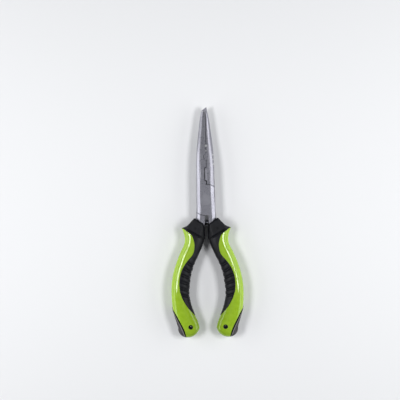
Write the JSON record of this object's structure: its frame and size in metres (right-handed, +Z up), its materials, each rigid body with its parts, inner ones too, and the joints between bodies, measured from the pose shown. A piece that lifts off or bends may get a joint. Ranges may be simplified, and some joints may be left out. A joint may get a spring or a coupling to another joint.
{
  "type": "fishing pliers",
  "caption": "Long-nose split-ring fishing pliers: lap-jointed steel arms with a side cutter and curved two-tone moulded handles, sprung open.",
  "frame": {"origin": "on the surface the tool lies on, under the middle of its bounding box", "axes": "+Y towards the jaws' tip, +Z up along the pivot axis, +X to the right with the jaws pointing away"},
  "size_m": [0.0534, 0.1696, 0.014],
  "materials": {
    "tool_steel": "satin ground",
    "rivet_steel": "ground flush",
    "spring_steel": "drawn wire",
    "green_plastic": "semi-gloss moulded",
    "black_rubber": "fine moulded texture",
    "grey_rubber": "fine moulded texture"
  },
  "bodies": {
    "front_body": {"front_arm": "tool_steel", "pivot_rivet": "rivet_steel", "return_spring": "spring_steel", "right_handle_core": "green_plastic", "right_soft_grip": "black_rubber", "right_heel_pad": "grey_rubber", "right_lanyard_eyelet": "black_rubber"},
    "rear_body": {"rear_arm": "tool_steel", "left_handle_core": "green_plastic", "left_soft_grip": "black_rubber", "left_heel_pad": "grey_rubber", "left_lanyard_eyelet": "black_rubber"}
  },
  "joints": [
    {"name": "arm_pivot", "type": "hinge", "parent": "front_body", "child": "rear_body", "pos_m": [0, 0.01645, 0.007], "axis": [0, 0, -1], "range_deg": [0, 25], "stiffness_Nm_per_rad": 0.15, "springref_deg": 34.38, "deforming": ["return_spring"]}
  ]
}
